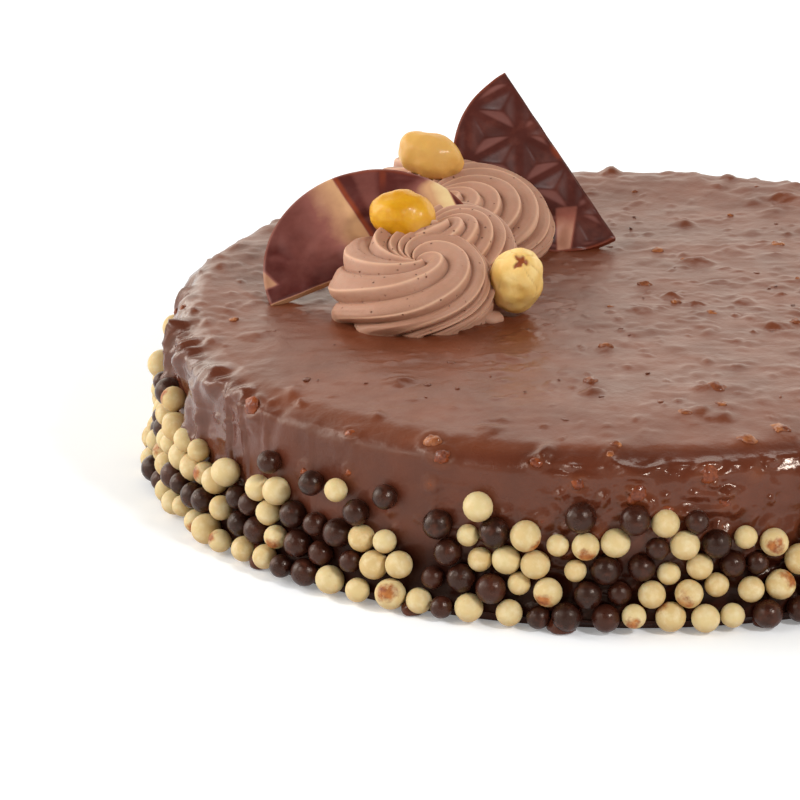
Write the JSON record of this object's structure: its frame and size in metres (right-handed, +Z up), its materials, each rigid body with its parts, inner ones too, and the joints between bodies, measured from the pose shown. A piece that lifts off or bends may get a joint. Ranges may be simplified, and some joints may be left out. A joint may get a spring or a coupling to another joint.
{
  "type": "hazelnut cake",
  "caption": "Round uncut cake under a nutty chocolate glaze, ringed with crisp chocolate pearls and topped with piped cream, hazelnuts and half-discs of chocolate.",
  "frame": {"origin": "middle of the cake's flat underside", "axes": "+Z up; the front of the cake faces -Y and the piped cream stands towards -X"},
  "size_m": [0.2498, 0.2485, 0.0859],
  "materials": {
    "glaze": "satin chocolate glaze over chopped nuts",
    "cream": "matte mocha cream with tiny pits",
    "glazed_hazelnut": "golden sugar glaze",
    "plain_hazelnut": "bare blanched kernel",
    "marbled_chocolate": "dark and milk chocolate marbled together",
    "dark_chocolate": "dark chocolate with a soft shine"
  },
  "bodies": {
    "root": {"cake": "glaze", "cream_rosette_front": "cream", "cream_rosette_middle": "cream", "cream_rosette_back": "cream", "cream_rosette_far": "cream", "hazelnut_glazed_front": "glazed_hazelnut", "hazelnut_glazed_back": "glazed_hazelnut", "hazelnut_plain": "plain_hazelnut", "chocolate_fan_left": "marbled_chocolate", "chocolate_fan_right": "dark_chocolate"}
  },
  "joints": []
}
